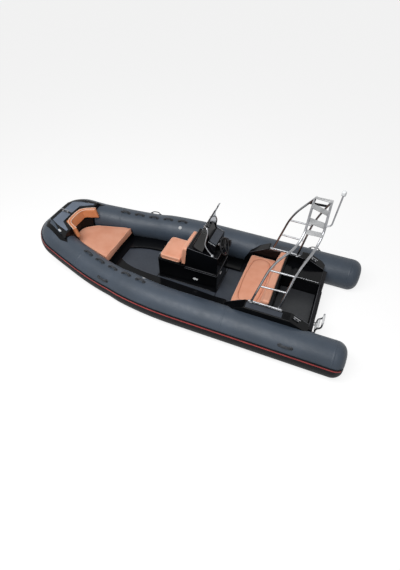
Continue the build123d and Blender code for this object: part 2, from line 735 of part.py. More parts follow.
# ---- bench -----------------------------------------------------------------------------------
bench_x0, bench_x1, bench_top = -1345, -905, 283
with BuildPart() as bench_box:
    with Locations(((bench_x0 + bench_x1) / 2, 0, (sole_z + bench_top) / 2)):
        Box(bench_x1 - bench_x0, 2 * inner_y - 2, bench_top - sole_z)
save(bench_box.part, "bench_box")
with BuildPart() as bench_cushion:
    add(cushion_block(-1338, -872, 15 - inner_y, inner_y - 15, bench_top + seat_gap, 378, 36))
save(bench_cushion.part, "bench_cushion")
bulkhead_x = -1462
with BuildPart() as bench_bulkhead:
    add(side_block([(bulkhead_x - 24, sole_z), (bulkhead_x - 24, 575), (bulkhead_x, 575),
                    (bulkhead_x + 62, 345), (bench_x0 - seat_gap, 345 - 30), (bench_x0 - seat_gap, sole_z)],
                   -inner_y + 1, inner_y - 1))
save(bench_bulkhead.part, "bench_bulkhead")
with BuildPart() as bench_backrest:
    add(side_block([(-1400, 386), (-1310, 386), (-1364, 617), (bulkhead_x + 0.4, 617),
                    (bulkhead_x + 0.4, 576), (bulkhead_x + 51.5, 386)],
                   12 - inner_y, inner_y - 12))
    fillet(bench_backrest.edges().filter_by(Axis.X).sort_by(Axis.Z)[-2:], 38)
save(bench_backrest.part, "bench_backrest")

# ---- stern ----------------------------------------------------------------------------------
well_z = 174
engine_pad_t = 8        # the engine bracket bears on this raised middle of the transom
with BuildPart() as transom:
    with BuildSketch(Plane.YZ.offset(transom_x)):
        with BuildLine():
            Polyline((-640, sole_z + seat_gap), (-640, transom_top), (-330, transom_top),
                     (-270, notch_top), (270, notch_top), (330, transom_top), (640, transom_top),
                     (640, sole_z + seat_gap), close=True)
        make_face()
    extrude(amount=transom_t)
    with BuildSketch(Plane.YZ.offset(transom_x)):
        with BuildLine():
            Polyline((0, -318), (690, -14), (690, sole_z + seat_gap), (-690, sole_z + seat_gap),
                     (-690, -14), close=True)
        make_face()
    extrude(amount=transom_t - seat_gap)
    with Locations((transom_x - engine_pad_t / 2, 0, (notch_top - 160) / 2)):
        Box(engine_pad_t, 480, notch_top + 160)
    add(cutter, mode=Mode.SUBTRACT)
save(transom.part, "transom")

with BuildPart() as well_sole:
    add(plan_block([(box_x0, -inner_y + 1), (bulkhead_x - 24 - seat_gap, -inner_y + 1),
                    (bulkhead_x - 24 - seat_gap, inner_y - 1), (box_x0, inner_y - 1)], sole_z, well_z))
    add(cutter, mode=Mode.SUBTRACT)
save(well_sole.part, "well_sole")
locker_y = -262
with BuildPart() as well_locker:
    add(side_block([(box_x0, well_z), (box_x0, 405), (bulkhead_x - 24 - seat_gap, 440),
                    (bulkhead_x - 24 - seat_gap, well_z)], -inner_y + 1, locker_y))
save(well_locker.part, "well_locker")
with BuildPart() as well_pad:
    with Locations(((box_x0 + bulkhead_x - 24) / 2, (locker_y + inner_y) / 2, well_z + pad_t / 2)):
        Box(-box_x0 + bulkhead_x - 24 - 36, inner_y - locker_y - 30, pad_t)
save(well_pad.part, "well_pad")


with BuildPart() as cleats:
    for side in (-1, 1):
        base = Plane(origin=(-1885, side * (inner_y + 68), box_top - 85 * 130 / 278 + seat_gap),
                     x_dir=(278, 0, 130), z_dir=(-130, 0, 278))
        with BuildSketch(base):
            RectangleRounded(84, 30, 11)
        extrude(amount=5)
        with BuildSketch(base.offset(5)):
            RectangleRounded(46, 16, 7)
        extrude(amount=18)
        with BuildSketch(base.offset(23)):
            RectangleRounded(116, 16, 7)
        extrude(amount=11)
save(cleats.part, "cleats")

# Boarding ladder on the transom, folded up over its hinge.
ladder_y0, ladder_y1, ladder_z = 352, 588, 216
ladder_x = transom_x - 42
with BuildPart() as ladder_bracket:
    for y in (ladder_y0 + 22, ladder_y1 - 22):
        with Locations((transom_x - 4 - seat_gap, y, ladder_z - 10)):
            Box(8, 60, 90)
        for dy in (-24, 24):
            with Locations((ladder_x + 11, y + dy, ladder_z)):
                Box(54, 5, 34)
save(ladder_bracket.part, "ladder_bracket")
with BuildPart() as boarding_ladder:
    for y in (ladder_y0 + 22, ladder_y1 - 22):
        add(bent_bar([(ladder_x, y, ladder_z - 12), (ladder_x, y, ladder_z + 120),
                      (ladder_x - 64, y, ladder_z + 176), (ladder_x - 64, y, ladder_z + 266)], 0.4, rung_r))
        with Locations(Location((ladder_x, y, ladder_z), (90, 0, 0))):
            Cylinder(17, 43 - 2 * seat_gap)
    for dx, dz in ((0, 50), (-20, 136), (-64, 254)):
        add(straight_bar((ladder_x + dx, ladder_y0 + 22, ladder_z + dz),
                         (ladder_x + dx, ladder_y1 - 22, ladder_z + dz), rung_r - 1))
save(boarding_ladder.part, "boarding_ladder")

# ---- arch ------------------------------------------------------------------------------------
front_corners = [(-1208, inner_y + 30, box_top), (-1398, 581, 1332), (-1687, 544, 1745), (-1672, 0, 2045)]
rear_corners = [(-1614, inner_y + 3, box_top), (-1727, 577, 1318), (-1899, 485, 1786), (-1883, 0, 2020)]


def hoop_line(corners):
    return corners + [(x, -y, z) for x, y, z in reversed(corners[:-1])]


def on_hoop(corners, z=None, y=None):
    """The point of a hoop's straight legs at a height, or of its sloping top at a half width."""
    for (xa, ya, za), (xb, yb, zb) in zip(corners, corners[1:]):
        if z is not None and za <= z <= zb:
            t = (z - za) / (zb - za)
            return xa + t * (xb - xa), ya + t * (yb - ya), z
        if y is not None and yb <= y <= ya and zb > 1800:
            t = (y - ya) / (yb - ya)
            return xa + t * (xb - xa), y, za + t * (zb - za)


with BuildPart() as arch_rails:
    for side in (-1, 1):
        with Locations((-1414, side * (inner_y + 22), box_top + 6 + seat_gap)):
            Box(500, 40, 11.4)
save(arch_rails.part, "arch_rails")
with BuildPart() as arch_front_hoop:
    add(bent_bar(hoop_line(front_corners), 0.42, rail_r))
    with Locations((-1400, 0, box_top + 12 - 100)):
        Box(1200, 1600, 200, mode=Mode.SUBTRACT)
save(arch_front_hoop.part, "arch_front_hoop")
with BuildPart() as arch_rear_hoop:
    add(bent_bar(hoop_line(rear_corners), 0.42, rail_r))
    with Locations((-1400, 0, box_top + 12 - 100)):
        Box(1200, 1600, 200, mode=Mode.SUBTRACT)
save(arch_rear_hoop.part, "arch_rear_hoop")
with BuildPart() as arch_rungs:
    for z in (911, 1228):
        f, r = on_hoop(front_corners, z=z), on_hoop(rear_corners, z=z)
        rung = straight_bar(f, r, rung_r)
        add(rung)
        add(mirror(rung, about=Plane.XZ))
    add(arch_front_hoop.part, mode=Mode.SUBTRACT)
    add(arch_rear_hoop.part, mode=Mode.SUBTRACT)
save(arch_rungs.part, "arch_rungs")

# Plates between the hoops near the head of the arch.
with BuildPart() as arch_plates:
    #   half width on the fore hoop and on the after hoop, plate width
    for y_fore, y_aft, wide in ((398, 396, 62), (262, 283, 78), (87, 126, 66)):
        f, r = on_hoop(front_corners, y=y_fore), on_hoop(rear_corners, y=y_aft)
        a, b = Vector(*f), Vector(*r)
        across = (b - a).normalized()
        down = Vector(0, 0.888, -0.46)
        with BuildSketch(Plane(origin=a, x_dir=down, z_dir=across)):
            Rectangle(wide, 5)
        extrude(amount=(b - a).length)
    add(arch_front_hoop.part, mode=Mode.SUBTRACT)
    add(arch_rear_hoop.part, mode=Mode.SUBTRACT)
    add(mirror(arch_plates.part, about=Plane.XZ))
save(arch_plates.part, "arch_plates")

# A dark bar between the starboard legs, below their upper bend.
with BuildPart() as arch_cross_bar:
    f, r = on_hoop(front_corners, z=1615), on_hoop(rear_corners, z=1650)
    a, b = Vector(f[0], -f[1], f[2]), Vector(r[0], -r[1], r[2])
    with BuildSketch(Plane(origin=a, x_dir=(0, 0, 1), z_dir=(b - a).normalized())):
        RectangleRounded(36, 14, 5)
    extrude(amount=(b - a).length)
    add(arch_front_hoop.part, mode=Mode.SUBTRACT)
    add(arch_rear_hoop.part, mode=Mode.SUBTRACT)
save(arch_cross_bar.part, "arch_cross_bar")

# All-round light on a bent pole off the arch's after leg.
pole_y, pole_top = 283, 2342
pole_foot = on_hoop(rear_corners, y=pole_y)
with BuildPart() as light_pole:
    add(bent_bar([pole_foot, (pole_foot[0] - 64, pole_y, pole_foot[2] + 26), (-1964, pole_y, 2055),
                  (-1978, pole_y, pole_top - 2)], 0.4, 10))
    add(arch_rear_hoop.part, mode=Mode.SUBTRACT)
    with Locations((-1978, pole_y, pole_top)):
        Cylinder(24, 8)
save(light_pole.part, "light_pole")
with BuildPart() as stern_light:
    with BuildSketch(Plane(origin=(-1978, pole_y, pole_top + 4 + seat_gap))):
        Circle(26)
    extrude(amount=46)
    fillet(stern_light.edges().sort_by(Axis.Z)[-1], 12)
save(stern_light.part, "stern_light")
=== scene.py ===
import math
import bmesh
import bpy
import numpy as np
from mathutils import Matrix, Vector
from mathutils.bvhtree import BVHTree


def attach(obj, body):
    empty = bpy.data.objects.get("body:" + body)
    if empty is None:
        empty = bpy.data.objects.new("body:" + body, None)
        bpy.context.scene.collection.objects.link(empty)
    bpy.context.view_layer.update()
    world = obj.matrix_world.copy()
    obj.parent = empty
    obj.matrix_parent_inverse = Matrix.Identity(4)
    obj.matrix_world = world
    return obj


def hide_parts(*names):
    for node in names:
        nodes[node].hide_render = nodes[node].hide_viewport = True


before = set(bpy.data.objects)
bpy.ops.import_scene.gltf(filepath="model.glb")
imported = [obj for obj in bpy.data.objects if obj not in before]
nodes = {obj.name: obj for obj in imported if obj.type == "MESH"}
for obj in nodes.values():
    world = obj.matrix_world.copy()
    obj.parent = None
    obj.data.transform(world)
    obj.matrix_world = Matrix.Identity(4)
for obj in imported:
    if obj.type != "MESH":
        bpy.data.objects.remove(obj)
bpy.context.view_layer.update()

# ---- Inflatable collar -------------------------------------------------------------------
# Three lengths of coated fabric tube, welded end to end: matt slate grey with a faint weave
# and a soft sheen. Glued tapes cover the joints and the foot of each stern cone.


def node_tree(name):
    """An empty material with its Principled shader and the object's own coordinates."""
    material = bpy.data.materials.new(name)
    material.use_nodes = True
    tree = material.node_tree
    where = tree.nodes.new("ShaderNodeTexCoord").outputs["Object"]
    return material, tree, tree.nodes["Principled BSDF"], where


def noise(tree, where, scale, detail=3.0, stretch=(1, 1, 1)):
    """Soft noise of about 1/scale metres, drawn out along the axes by stretch."""
    place = tree.nodes.new("ShaderNodeMapping")
    place.inputs["Scale"].default_value = stretch
    tree.links.new(where, place.inputs["Vector"])
    cloud = tree.nodes.new("ShaderNodeTexNoise")
    cloud.inputs["Scale"].default_value = scale
    cloud.inputs["Detail"].default_value = detail
    tree.links.new(place.outputs["Vector"], cloud.inputs["Vector"])
    return cloud.outputs["Fac"]


def between(tree, share, low, high, low_at=0.3, high_at=0.7):
    """A number or a colour that runs from low to high as share runs from low_at to high_at."""
    if isinstance(low, tuple):
        ramp = tree.nodes.new("ShaderNodeValToRGB")
        ramp.color_ramp.elements[0].position = low_at
        ramp.color_ramp.elements[1].position = high_at
        ramp.color_ramp.elements[0].color = (*low, 1)
        ramp.color_ramp.elements[1].color = (*high, 1)
        tree.links.new(share, ramp.inputs["Fac"])
        return ramp.outputs["Color"]
    span = tree.nodes.new("ShaderNodeMapRange")
    for key, value in (("From Min", low_at), ("From Max", high_at), ("To Min", low), ("To Max", high)):
        span.inputs[key].default_value = value
    tree.links.new(share, span.inputs["Value"])
    return span.outputs["Result"]


def relief(tree, height, depth, edge=0.0, under=None):
    """A bump of that depth in metres. An edge radius rounds the edges it is drawn on first."""
    bump = tree.nodes.new("ShaderNodeBump")
    bump.inputs["Distance"].default_value = depth
    bump.inputs["Strength"].default_value = 1.0
    tree.links.new(height, bump.inputs["Height"])
    if edge:
        rounded = tree.nodes.new("ShaderNodeBevel")
        rounded.samples = 6
        rounded.inputs["Radius"].default_value = edge
        tree.links.new(rounded.outputs["Normal"], bump.inputs["Normal"])
    elif under is not None:
        tree.links.new(under, bump.inputs["Normal"])
    return bump.outputs["Normal"]


def finish(name, dark, light, patch, rough, grain, depth, edge=0.0, stretch=(1, 1, 1), **sockets):
    """A finish: its colour drifts from dark to light over patches, its roughness over rough,
    and fine noise of the grain scale stands out by depth. The rest is set on the sockets."""
    material, tree, shader, where = node_tree(name)
    drift = noise(tree, where, patch)
    fine = noise(tree, where, grain, 2.0, stretch)
    tree.links.new(between(tree, drift, dark, light), shader.inputs["Base Color"])
    tree.links.new(between(tree, fine, *rough), shader.inputs["Roughness"])
    tree.links.new(relief(tree, fine, depth, edge), shader.inputs["Normal"])
    for key, value in sockets.items():
        shader.inputs[key.replace("_", " ")].default_value = value
    return material


def dress(material, *names):
    """CAD nodes keep their shape and take this material in every slot."""
    for name in names:
        data = nodes[name].data
        if not data.materials:
            data.materials.append(material)
        for i in range(len(data.materials)):
            data.materials[i] = material


collar_fabric, tree, shader, where = node_tree("collar_fabric")
cloud = noise(tree, where, 2.2)
tree.links.new(between(tree, cloud, (0.038, 0.052, 0.072), (0.055, 0.073, 0.100)),
               shader.inputs["Base Color"])
weave_ups = []
for way in ("X", "Z"):
    thread = tree.nodes.new("ShaderNodeTexWave")
    thread.bands_direction = way
    thread.inputs["Scale"].default_value = 260
    thread.inputs["Distortion"].default_value = 0.6
    tree.links.new(where, thread.inputs["Vector"])
    weave_ups.append(thread.outputs["Fac"])
weave = tree.nodes.new("ShaderNodeMath")
weave.operation = "ADD"
tree.links.new(weave_ups[0], weave.inputs[0])
tree.links.new(weave_ups[1], weave.inputs[1])
skin = relief(tree, weave.outputs[0], 0.00012)
tree.links.new(relief(tree, noise(tree, where, 5, 2.0), 0.004, under=skin), shader.inputs["Normal"])
tree.links.new(between(tree, noise(tree, where, 14), 0.40, 0.52), shader.inputs["Roughness"])
shader.inputs["Sheen Weight"].default_value = 0.03
shader.inputs["Sheen Roughness"].default_value = 0.4
shader.inputs["Specular IOR Level"].default_value = 0.42
dress(collar_fabric, "tube_port", "tube_starboard", "tube_bow")

tube_r, bow_r = 0.258, 0.242        # tube radius, aft and round the bow
tube_y, tube_z = 0.887, 0.228       # tube axis, aft
stern_x, cone_length = -2.66, 0.15


def lattice(rows, columns, wrap_rows=False, wrap_columns=True):
    """The faces of a grid of points: each joins a point, the next in its row, and the two beside
    them in the next row. A wrapped direction joins its last line to its first."""
    r = np.arange(rows if wrap_rows else rows - 1)[:, None]
    c = np.arange(columns if wrap_columns else columns - 1)[None, :]
    r2, c2 = (r + 1) % rows, (c + 1) % columns
    return np.stack([r * columns + c, r * columns + c2, r2 * columns + c2, r2 * columns + c],
                    -1).reshape(-1, 4)


def settle(name, grids, material, body="boat", flat=False, wrap_rows=False, wrap_columns=True):
    """One piece from one or more grids of points: its doubles merged, its faces turned out."""
    points, faces, count = [], [], 0
    for grid in grids:
        points.append(grid.reshape(-1, 3))
        faces.append(lattice(grid.shape[0], grid.shape[1], wrap_rows, wrap_columns) + count)
        count += len(points[-1])
    mesh = bpy.data.meshes.new(name)
    mesh.from_pydata(np.concatenate(points).tolist(), [], np.concatenate(faces).tolist())
    knit = bmesh.new()
    knit.from_mesh(mesh)
    bmesh.ops.remove_doubles(knit, verts=knit.verts, dist=1e-5)
    bmesh.ops.dissolve_degenerate(knit, edges=knit.edges, dist=1e-6)
    bmesh.ops.recalc_face_normals(knit, faces=knit.faces)
    knit.to_mesh(mesh)
    knit.free()
    mesh.polygons.foreach_set("use_smooth", np.full(len(mesh.polygons), not flat))
    mesh.materials.append(material)
    piece = bpy.data.objects.new(name, mesh)
    bpy.context.scene.collection.objects.link(piece)
    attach(piece, body)
    return piece


def unit(v):
    """Arrows scaled to length one."""
    return v / np.maximum(np.linalg.norm(v, axis=-1, keepdims=True), 1e-9)


def cut_corners(points, times, closed=False):
    """A softer line: each pass swaps a corner for two points a quarter of the way along its sides."""
    points = np.asarray(points, float)
    for _ in range(times):
        ahead = np.roll(points, -1, 0) if closed else points[1:]
        here = points if closed else points[:-1]
        soft = np.stack([0.75 * here + 0.25 * ahead, 0.25 * here + 0.75 * ahead], 1).reshape(-1, 3)
        points = soft if closed else np.concatenate([points[:1], soft, points[-1:]])
    return points


def drawn(path, outline, up=(0, 0, 1), closed=False, ends=True, scale=None):
    """A section carried along a path: point = path + side * outline_x + up * outline_y, where up is
    squared to the path. The ends shrink to a point over a short rounded length."""
    path = np.asarray(path, float)
    outline = np.asarray(outline, float)
    size = np.ones(len(path)) if scale is None else np.asarray(scale, float)
    up = np.broadcast_to(np.asarray(up, float), path.shape)
    if closed:
        along = unit(np.roll(path, -1, 0) - np.roll(path, 1, 0))
    else:
        along = unit(np.gradient(path, axis=0))
        if ends:
            reach = 0.4 * np.abs(outline).max()
            path = np.concatenate([path[:1], path[:1], path[:1] + along[:1] * reach, path[1:-1],
                                   path[-1:] - along[-1:] * reach, path[-1:], path[-1:]])
            along = np.concatenate([along[:1]] * 2 + [along] + [along[-1:]] * 2)
            up = np.concatenate([up[:1]] * 2 + [up] + [up[-1:]] * 2)
            size = np.concatenate([[0, 0.7 * size[0]], size, [0.7 * size[-1], 0]])
    side = unit(np.cross(along, up))
    over = unit(np.cross(side, along))
    spread = outline[None, :, :] * size[:, None, None]
    return path[:, None] + side[:, None] * spread[..., :1] + over[:, None] * spread[..., 1:]


def ring(radius, count=12):
    """A round section."""
    a = np.arange(count) * 2 * np.pi / count
    return np.stack([np.cos(a), np.sin(a)], -1) * radius


def lens_shape(half_wide, half_high, power=4.0, count=20):
    """A rounded box section: a circle pushed out towards a box by the power of its curve."""
    a = np.arange(count) * 2 * np.pi / count
    c, s = np.cos(a), np.sin(a)
    return np.stack([np.sign(c) * np.abs(c) ** (2 / power) * half_wide,
                     np.sign(s) * np.abs(s) ** (2 / power) * half_high], -1)


collar_line = cut_corners([(stern_x, tube_y, tube_z), (-1.2, tube_y, tube_z), (0.312, tube_y, tube_z),
                           (1.326, 0.718, 0.244), (2.085, 0.514, 0.362), (2.454, 0.420, 0.465)], 3)


def collar_ring(at, ahead, radius, wide, proud, count=72):
    """A tape round the tube: five rings, its edges let down to the tube and its middle proud."""
    ahead = unit(np.asarray(ahead, float))
    out = unit(np.cross(ahead, (0, 0, 1)))
    up = np.cross(out, ahead)
    a = np.arange(count) * 2 * np.pi / count
    spoke = out[None] * np.cos(a)[:, None] + up[None] * np.sin(a)[:, None]
    steps = np.array([-0.5, -0.46, 0.0, 0.46, 0.5]) * wide
    height = radius + np.array([-0.0005, 1, 1, 1, -0.0005]) * proud
    middles = np.asarray(at, float) + ahead * steps[:, None]
    return middles[:, None] + spoke[None] * height[:, None, None]


tapes = []
for side in (1, -1):
    for at, ahead, radius in (((stern_x + cone_length + 0.03, tube_y, tube_z), (1, 0, 0), tube_r),
                              ((-0.90, tube_y, tube_z), (1, 0, 0), tube_r),
                              ((1.6813, 0.6225, 0.2992), (0.759, -0.204, 0.118), bow_r)):
        flip = np.array((1, side, 1))
        tapes.append(collar_ring(np.array(at) * flip, np.array(ahead) * flip, radius, 0.034, 0.0011))
settle("collar_seam_tapes", tapes, collar_fabric)

# ---- Rubbing strake ------------------------------------------------------------------------
# An extruded rubber band glued round the outside of the collar, near black, with a narrow red
# pinstripe let into its upper part.

strake_rubber = finish("strake_rubber", (0.004, 0.004, 0.005), (0.009, 0.009, 0.011), 6, (0.45, 0.6),
                       120, 0.0006, Specular_IOR_Level=0.12)
dress(strake_rubber, "rub_strake")
stripe_red = finish("stripe_red", (0.31, 0.026, 0.028), (0.45, 0.055, 0.052), 9, (0.3, 0.42),
                    160, 0.0002, Specular_IOR_Level=0.4)
dress(stripe_red, "red_stripe")

# ---- Handles and valves ----------------------------------------------------------------------
# Moulded rubber grips: an arched strap between two pads glued to the tube. Five stand on each
# inner shoulder, and one carrying handle fore and aft on each outer shoulder.

handle_rubber = finish("handle_rubber", (0.016, 0.018, 0.022), (0.030, 0.034, 0.041), 20, (0.4, 0.55),
                       300, 0.0004, Specular_IOR_Level=0.35)
black_plastic = finish("black_plastic", (0.006, 0.006, 0.007), (0.012, 0.012, 0.014), 15, (0.3, 0.45),
                       420, 0.0003, edge=0.002, Specular_IOR_Level=0.2)


def even_path(corners, step, closed):
    """The same line with its points an even step apart."""
    corners = np.asarray(corners, float)
    if closed:
        corners = np.concatenate([corners, corners[:1]])
    length = np.concatenate([[0], np.cumsum(np.linalg.norm(np.diff(corners, axis=0), axis=1))])
    at = np.linspace(0, length[-1], max(int(length[-1] / step), 4) + 1)
    if closed:
        at = at[:-1]
    return np.stack([np.interp(at, length, corners[:, i]) for i in range(3)], -1)


def handle_places(node, middles):
    """Points, middle, length direction and outward direction of each handle in a CAD node.

    Each point goes to the nearest of the handles' middles along the boat. The longest spread of a
    handle is its length, and outward runs from the tube's line to its middle, squared to the length."""
    points = np.array([v.co for v in nodes[node].data.vertices], float)
    places = []
    for sign in (1, -1):
        near = points[points[:, 1] * sign > 0]
        if not len(near):
            continue
        group = np.abs(near[:, :1] - np.array(middles)).argmin(1)
        line = even_path(collar_line * (1, sign, 1), 0.004, False)
        for i in range(len(middles)):
            part = near[group == i]
            middle = (part.max(0) + part.min(0)) / 2
            along = unit(np.linalg.svd(part - part.mean(0), full_matrices=False)[2][0])
            away = middle - line[np.argmin(np.linalg.norm(line - middle, axis=1))]
            away = unit(away - along * np.dot(away, along))
            places.append((part, middle, along, away))
    return places


def strap(part, middle, along, away, rise, wide, thick):
    """An arched strap on two oval pads. With s from -1 to 1 along it, its height is
    0.4 thick + (rise - thick) * (1 - |s / 0.8| ** 3.2) ** 0.8. Past 0.8 only 0.4 thick is left."""
    reach = np.ptp(part @ along) / 2
    foot = (part @ away).min() + 0.004
    base = middle + away * (foot - middle @ away)
    s = np.linspace(-1, 1, 41)
    height = thick * 0.4 + (rise - thick) * np.clip(1 - np.abs(s / 0.80) ** 3.2, 0, 1) ** 0.8
    path = base + along * (s * (reach - 0.012))[:, None] + away * height[:, None]
    band = drawn(path, lens_shape(wide * 0.30, thick * 0.5, 3.0, 14), up=away)
    pads = []
    across = np.cross(away, along)
    for end in (-1, 1):
        a = np.arange(28) * 2 * np.pi / 28
        rings = []
        for grow, up in ((1.0, -0.006), (1.0, 0.0015), (0.9, 0.0035), (0.5, 0.0050), (0.0, 0.0055)):
            oval = along * np.cos(a)[:, None] * 0.029 + across * np.sin(a)[:, None] * wide / 2
            rings.append(base + along * (end * (reach - 0.030)) + away * up + oval * grow)
        pads.append(np.stack(rings))
    return [band], pads


def handle_set(name, node, middles, rise, wide, thick):
    """All the handles of one node as one piece that stands for it."""
    grids = []
    for place in handle_places(node, middles):
        bands, pads = strap(*place, rise, wide, thick)
        grids += bands + pads
    piece = settle(name, grids, handle_rubber)
    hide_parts(node)


grip_middles = (0.506, 0.778, 1.044, 1.311, 1.566)
handle_set("grips_port", "grab_handles_port", grip_middles, 0.040, 0.060, 0.015)
handle_set("grips_starboard", "grab_handles_starboard", grip_middles, 0.040, 0.060, 0.015)
handle_set("carrying_handles", "carry_handles", (-1.849, 1.119), 0.044, 0.050, 0.015)
valve_plastic = finish("valve_plastic", (0.36, 0.37, 0.38), (0.46, 0.47, 0.48), 30, (0.3, 0.4),
                       300, 0.0002, edge=0.002)
dress(valve_plastic, "valves")

# ---- Hull and deck -----------------------------------------------------------------------------
# Hand-laid glass fibre in glossy black gelcoat: the deep-vee hull, the deck liner, the side
# mouldings, lockers and transom. Moulded edges are well rounded and catch the light.


def gelcoat(name, dark, light):
    """Glossy gelcoat: near black, faintly orange-peeled, its edges rounded by a few millimetres."""
    return finish(name, dark, light, 2.5, (0.13, 0.22), 60, 0.00025, edge=0.006,
                  Specular_IOR_Level=0.13)


deck_gelcoat = gelcoat("deck_gelcoat", (0.0018, 0.0020, 0.0027), (0.0035, 0.0039, 0.0050))
hull_gelcoat = gelcoat("hull_gelcoat", (0.006, 0.006, 0.008), (0.010, 0.010, 0.013))
dress(hull_gelcoat, "hull", "transom")
dress(deck_gelcoat, "deck_liner", "side_box_port", "side_box_starboard", "bow_locker", "bow_step",
      "console_base", "console_body", "console_seat_lid", "instrument_pod", "bench_box",
      "bench_bulkhead", "well_sole", "well_locker")


def ribbed_pad(name, dark, light, way, pitch):
    """Non-slip deck pad: fine ribs across one axis, one every pitch metres, on soft foam."""
    material, tree, shader, where = node_tree(name)
    drift = noise(tree, where, 3.0)
    tree.links.new(between(tree, drift, dark, light), shader.inputs["Base Color"])
    ribs = tree.nodes.new("ShaderNodeTexWave")
    ribs.bands_direction = way
    ribs.inputs["Scale"].default_value = 0.314 / pitch
    ribs.inputs["Distortion"].default_value = 0.0
    tree.links.new(where, ribs.inputs["Vector"])
    skin = relief(tree, ribs.outputs["Fac"], 0.0006, edge=0.002)
    tree.links.new(relief(tree, noise(tree, where, 500), 0.0003, under=skin), shader.inputs["Normal"])
    tree.links.new(between(tree, noise(tree, where, 30), 0.36, 0.52), shader.inputs["Roughness"])
    shader.inputs["Specular IOR Level"].default_value = 0.4
    return material


deck_pad = ribbed_pad("deck_pad", (0.024, 0.030, 0.042), (0.040, 0.048, 0.064), "Y", 0.010)
dress(deck_pad, "sole_pads", "side_box_pads")
# The bow step pads are a pale blue-grey, far lighter than the other deck pads: a painted reflection of
# the sky on them.
step_pad = ribbed_pad("step_pad", (0.115, 0.145, 0.195), (0.155, 0.190, 0.250), "Y", 0.010)
dress(step_pad, "bow_step_pads")
well_rubber = ribbed_pad("well_rubber", (0.024, 0.026, 0.029), (0.034, 0.036, 0.040), "X", 0.012)
dress(well_rubber, "well_pad")

def line_of(corners, count):
    """Points at even shares of the length of a line through (x, y) corners."""
    corners = np.array(corners, float)
    run = np.concatenate([[0], np.cumsum(np.linalg.norm(np.diff(corners, axis=0), axis=1))])
    at = np.linspace(0, run[-1], count)
    return np.stack([np.interp(at, run, corners[:, k]) for k in (0, 1)], -1)


def dropped(skins, x, y):
    """The place and normal of the highest of the skins straight below (x, y)."""
    hits = [skin.ray_cast(Vector((x, y, 2)), Vector((0, 0, -1))) for skin in skins]
    top = max((hit for hit in hits if hit[0] is not None), key=lambda hit: hit[0].z)
    return (*top[0], *top[1])


def flange(inner, outer, skins, out, rows=60, columns=7):
    """A thin moulded lip between two plan lines, laid on the surface below: each grid point drops
    on to the surface and stands out along its normal by out at the top and -out beneath."""
    share = np.linspace(0, 1, columns)[None, :, None]
    near, far = (line_of(line, rows)[:, None] for line in (inner, outer))
    plan = (near * (1 - share) + far * share).reshape(-1, 2)
    drop = np.array([dropped(skins, x, y) for x, y in plan]).reshape(rows, columns, 6)
    top, under = (drop[..., :3] + drop[..., 3:] * lift for lift in (out, -out))
    loop = np.concatenate([top, under[:, ::-1]], 1)
    first, last = (np.repeat(loop[k:k + 1].mean(1, keepdims=True), columns * 2, 1) for k in (0, -1))
    return np.concatenate([first, loop, last])


# The bow step turns out in a thin lip that lies on the collar beside each bow light.
graph = bpy.context.evaluated_depsgraph_get()
collar_skins = [BVHTree.FromObject(nodes[name], graph)
                for name in ("tube_bow", "tube_port", "tube_starboard")]
lip_inner = [(2.040, 0.500), (2.110, 0.505), (2.470, 0.355), (2.500, 0.290)]
lip_outer = [(1.985, 0.570), (2.120, 0.580), (2.500, 0.425), (2.560, 0.300)]
lips = [flange([(x, side * y) for x, y in lip_inner], [(x, side * y) for x, y in lip_outer],
               collar_skins, 0.004) for side in (1, -1)]
settle("bow_step_lips", lips, deck_gelcoat)

# ---- Polished stainless ------------------------------------------------------------------------
# Every tube, cleat, rail and light rim is polished stainless, with the faint long scratches of
# the buffing wheel.

steel = finish("steel", (0.23, 0.235, 0.245), (0.36, 0.365, 0.38), 12, (0.16, 0.26), 90, 0.00003,
               stretch=(1, 1, 0.1), Metallic=1.0)
dress(steel, "bow_cleat", "bow_eye", "seat_hinge", "screen_rails", "cleats", "ladder_bracket",
      "boarding_ladder", "arch_rails", "arch_front_hoop", "arch_rear_hoop", "arch_rungs",
      "light_pole")
brushed = finish("brushed_plate", (0.25, 0.255, 0.26), (0.35, 0.355, 0.36), 10, (0.28, 0.42),
                 140, 0.0002, stretch=(0.1, 1, 1), Metallic=1.0)
dress(brushed, "arch_plates")
# The cross bar between the arch hoops takes this black as painted shade and painted dark reflection.
dress(black_plastic, "arch_cross_bar", "helm", "steering_wheel", "throttle", "battery_switch")
lamp_lens = finish("lamp_lens", (0.72, 0.74, 0.76), (0.84, 0.86, 0.87), 30, (0.08, 0.16), 80, 0.0002,
                   edge=0.003)
dress(lamp_lens, "bow_lights", "courtesy_lights", "stern_light")
gauge_glass = finish("gauge_glass", (0.015, 0.016, 0.019), (0.03, 0.032, 0.036), 30, (0.05, 0.1),
                     60, 0.0001, edge=0.002)
dress(gauge_glass, "gauges")

# ---- Windscreen ----------------------------------------------------------------------------------
# One sheet of clear acrylic, bent round the pod and bolted to the console. Its colour runs from near
# black at its foot to a pale grey from 1.26 m up.

screen, tree, shader, where = node_tree("screen")
height = tree.nodes.new("ShaderNodeSeparateXYZ")
tree.links.new(where, height.inputs["Vector"])
rise = tree.nodes.new("ShaderNodeMapRange")
rise.inputs["From Min"].default_value = 1.12
rise.inputs["From Max"].default_value = 1.26
tree.links.new(height.outputs["Z"], rise.inputs["Value"])
tree.links.new(between(tree, rise.outputs["Result"], (0.004, 0.004, 0.005), (0.46, 0.475, 0.50)),
               shader.inputs["Base Color"])
tree.links.new(between(tree, noise(tree, where, 8), 0.0, 0.015), shader.inputs["Roughness"])
shader.inputs["Transmission Weight"].default_value = 1.0
shader.inputs["IOR"].default_value = 1.49
shader.inputs["Specular IOR Level"].default_value = 0.25
dress(screen, "windscreen")

# ---- Upholstery ------------------------------------------------------------------------------------
# Foam pads in tan leatherette, sewn with a piped edge. Each cover is blown tight over its foam,
# so that it crowns in the middle and pulls in between its corners.

